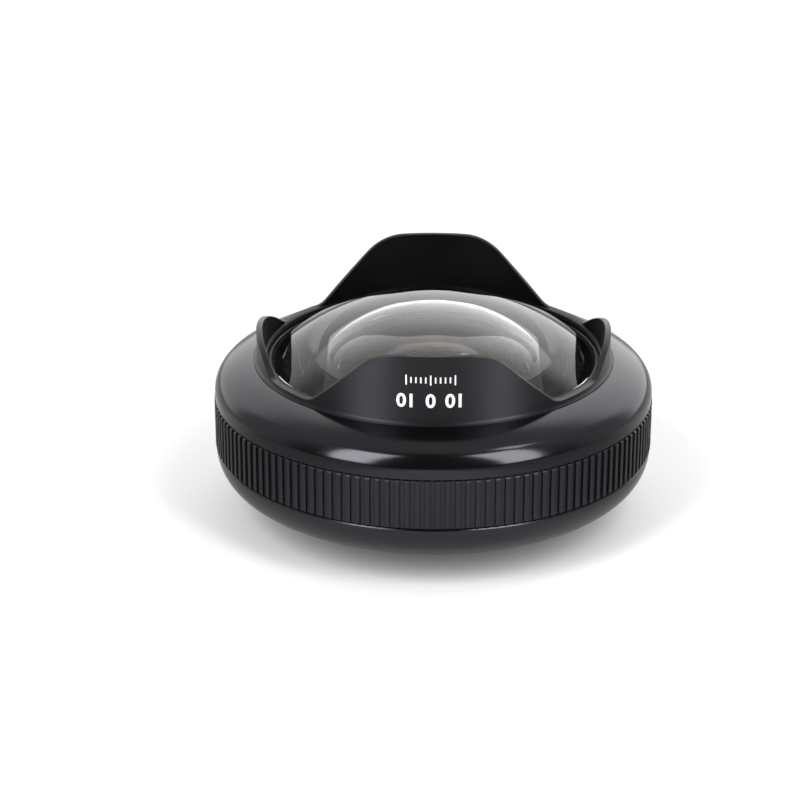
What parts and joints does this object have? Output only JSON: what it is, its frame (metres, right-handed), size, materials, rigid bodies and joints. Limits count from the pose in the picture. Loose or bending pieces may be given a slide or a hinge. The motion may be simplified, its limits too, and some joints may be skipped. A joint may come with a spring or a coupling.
{
  "type": "wide-angle wet lens",
  "caption": "Underwater wide-angle conversion lens: domed front glass in a scalloped petal hood, hollow round float collar with a ribbed grip ring, and a threaded rear mount.",
  "frame": {"origin": "centre of the rear end face of the mount thread, on the optical axis", "axes": "+Z along the optical axis towards the subject, -Y through one tall petal of the hood (the one in front in the picture), +X through a low petal"},
  "size_m": [0.132, 0.132, 0.0681],
  "materials": {
    "coated_glass": "polished, anti-reflection coated",
    "satin_black_aluminium": "black hard anodised, satin",
    "matt_black_aluminium": "black anodised over fine blasting, matt",
    "black_aluminium": "black anodised",
    "steel": "stainless, plain",
    "seal_rubber": "smooth nitrile"
  },
  "bodies": {
    "lens": {"cell_oring": "seal_rubber", "collar_lower_oring": "seal_rubber", "collar_lower_shell": "satin_black_aluminium", "collar_screws": "steel", "collar_upper_oring": "seal_rubber", "collar_upper_shell": "satin_black_aluminium", "doublet_front": "coated_glass", "doublet_rear": "coated_glass", "doublet_spacer": "matt_black_aluminium", "front_element": "coated_glass", "front_oring": "seal_rubber", "front_retaining_ring": "matt_black_aluminium", "grip_lower_oring": "seal_rubber", "grip_ring": "matt_black_aluminium", "grip_upper_oring": "seal_rubber", "hood_drag_ring": "seal_rubber", "hood_snap_ring": "steel", "lens_barrel": "black_aluminium", "mount_ring": "black_aluminium", "mount_screws": "steel", "rear_cell": "black_aluminium", "rear_element": "coated_glass", "rear_oring": "seal_rubber", "rear_retaining_ring": "matt_black_aluminium", "second_element": "coated_glass", "second_retaining_ring": "matt_black_aluminium", "third_element": "coated_glass", "third_spacer": "matt_black_aluminium"},
    "hood": {"hood": "matt_black_aluminium"}
  },
  "joints": [
    {"name": "hood_turn", "type": "hinge", "parent": "lens", "child": "hood", "pos_m": [0, 0, 0.045], "axis": [0, 0, 1], "continuous": true}
  ]
}
